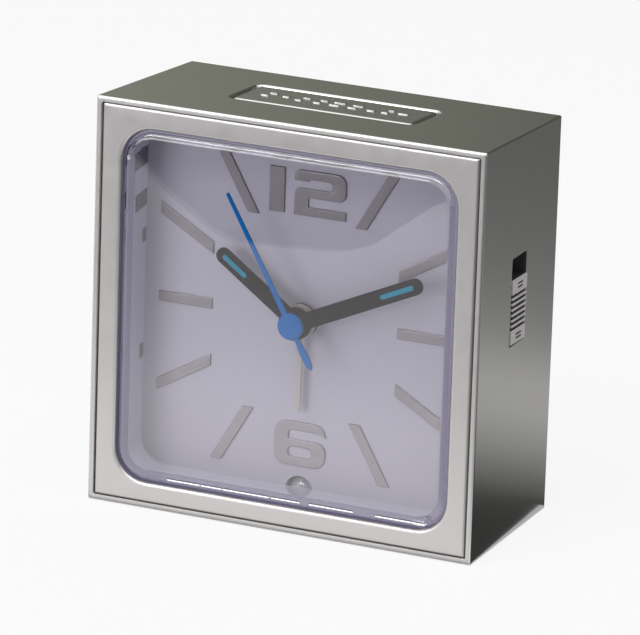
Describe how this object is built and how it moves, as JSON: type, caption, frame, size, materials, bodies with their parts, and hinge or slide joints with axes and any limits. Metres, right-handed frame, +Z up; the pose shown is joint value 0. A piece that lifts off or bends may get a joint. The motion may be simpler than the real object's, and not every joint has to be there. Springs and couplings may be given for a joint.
{
  "type": "analogue alarm clock",
  "caption": "Square desk alarm clock: metal sleeve case, clear box lens over a dial with raised bars, snooze bar in the top, alarm slider in the side, battery door and setting knobs in the back.",
  "frame": {"origin": "on the surface that the clock stands on, under the middle of the case", "axes": "+X to the right as seen from the front, +Y from the dial towards the back, +Z up"},
  "size_m": [0.075, 0.0364, 0.075],
  "materials": {
    "case_metal": "satin, olive grey",
    "bezel_metal": "satin silver",
    "clear": "clear, polished",
    "dial_card": "matt pale lilac grey",
    "hand_black": "matt",
    "lume_teal": "matt luminous paint",
    "hand_blue": "satin",
    "hand_sand": "matt",
    "black_plastic": "fine texture",
    "grey_plastic": "matt",
    "white_plastic": "matt",
    "steel": "plated",
    "copper": "enamelled copper",
    "magnet": "sintered",
    "board": "solder mask",
    "cell_wrap": "plain dark foil wrap"
  },
  "bodies": {
    "root": {"case_shell": "case_metal", "front_bezel": "bezel_metal", "lens": "clear", "dial_plate": "dial_card", "dial_lamp": "clear", "movement_carrier": "white_plastic", "movement_front_shell": "grey_plastic", "movement_bridge": "grey_plastic", "movement_rear_shell": "grey_plastic", "stator": "steel", "coil_core": "steel", "drive_coil": "copper", "alarm_contact": "copper", "rear_cover": "black_plastic", "aa_battery": "cell_wrap", "battery_plus_contact": "steel", "battery_minus_spring": "steel", "case_screw_1": "steel", "case_screw_2": "steel", "case_screw_3": "steel", "case_screw_4": "steel", "movement_screw_1": "steel", "movement_screw_2": "steel", "movement_screw_3": "steel", "movement_screw_4": "steel", "circuit_board": "board", "snooze_switch": "black_plastic", "control_chip": "black_plastic", "quartz_crystal": "steel", "buzzer": "black_plastic", "alarm_switch": "steel"},
    "second": {"second_hand": "hand_blue", "seconds_wheel": "white_plastic"},
    "third": {"third_wheel": "white_plastic"},
    "minute": {"minute_hand": "hand_black", "minute_lume": "lume_teal", "minute_wheel": "white_plastic"},
    "works": {"works_wheel": "white_plastic"},
    "hour": {"hour_hand": "hand_black", "hour_lume": "lume_teal", "hour_wheel": "white_plastic"},
    "intermediate": {"intermediate_wheel": "white_plastic"},
    "rotor": {"rotor_pinion": "white_plastic", "rotor_magnet": "magnet"},
    "time_set": {"time_set_gear": "white_plastic", "time_set_knob": "black_plastic"},
    "alarm": {"alarm_hand": "hand_sand", "alarm_wheel": "white_plastic"},
    "alarm_set": {"alarm_set_gear": "white_plastic", "alarm_set_knob": "black_plastic"},
    "snooze": {"snooze_bar": "case_metal", "snooze_plunger": "black_plastic", "snooze_spring_left": "steel", "snooze_spring_right": "steel"},
    "slider": {"alarm_slider": "grey_plastic", "switch_actuator": "white_plastic"},
    "door": {"battery_door": "black_plastic"}
  },
  "joints": [
    {"name": "second_spin", "type": "hinge", "parent": "root", "child": "second", "pos_m": [0, 0, 0.0372], "axis": [0, 1, 0], "continuous": true},
    {"name": "third_spin", "type": "hinge", "parent": "root", "child": "third", "pos_m": [-0.00819, 0, 0.03546], "axis": [0, 1, 0], "continuous": true},
    {"name": "minute_spin", "type": "hinge", "parent": "root", "child": "minute", "pos_m": [0, 0, 0.0372], "axis": [0, 1, 0], "continuous": true},
    {"name": "works_spin", "type": "hinge", "parent": "root", "child": "works", "pos_m": [0.00932, 0, 0.03492], "axis": [0, 1, 0], "continuous": true},
    {"name": "hour_spin", "type": "hinge", "parent": "root", "child": "hour", "pos_m": [0, 0, 0.0372], "axis": [0, 1, 0], "continuous": true},
    {"name": "intermediate_spin", "type": "hinge", "parent": "root", "child": "intermediate", "pos_m": [0.00789, 0, 0.03433], "axis": [0, 1, 0], "continuous": true},
    {"name": "rotor_spin", "type": "hinge", "parent": "root", "child": "rotor", "pos_m": [0.01463, 0, 0.03314], "axis": [0, 1, 0], "continuous": true},
    {"name": "time_set_spin", "type": "hinge", "parent": "root", "child": "time_set", "pos_m": [0.00849, 0, 0.04569], "axis": [0, 1, 0], "continuous": true},
    {"name": "alarm_set_spin", "type": "hinge", "parent": "root", "child": "alarm_set", "pos_m": [-0.00849, 0, 0.04569], "axis": [0, 1, 0], "continuous": true},
    {"name": "alarm_spin", "type": "hinge", "parent": "root", "child": "alarm", "pos_m": [0, 0, 0.0372], "axis": [0, 1, 0], "continuous": true},
    {"name": "snooze_press", "type": "slide", "parent": "root", "child": "snooze", "axis": [0, 0, -1], "range_m": [0, 0.0012], "stiffness_N_per_m": 400, "springref_m": -0.0015, "deforming": ["snooze_spring_left", "snooze_spring_right"]},
    {"name": "alarm_slide", "type": "slide", "parent": "root", "child": "slider", "axis": [0, 0, 1], "range_m": [0, 0.0036]},
    {"name": "door_hinge", "type": "hinge", "parent": "root", "child": "door", "pos_m": [0, 0.01715, 0.0047], "axis": [-1, 0, 0], "range_deg": [0, 85]}
  ],
  "couplings": [
    {"joint": "third_spin", "follows": "second_spin", "ratio": -0.13333},
    {"joint": "minute_spin", "follows": "second_spin", "ratio": 0.016667},
    {"joint": "works_spin", "follows": "second_spin", "ratio": -0.0055556},
    {"joint": "hour_spin", "follows": "second_spin", "ratio": 0.0013889},
    {"joint": "intermediate_spin", "follows": "second_spin", "ratio": -6},
    {"joint": "rotor_spin", "follows": "second_spin", "ratio": 30},
    {"joint": "time_set_spin", "follows": "second_spin", "ratio": 0.011111},
    {"joint": "alarm_spin", "follows": "alarm_set_spin", "ratio": -0.5}
  ]
}
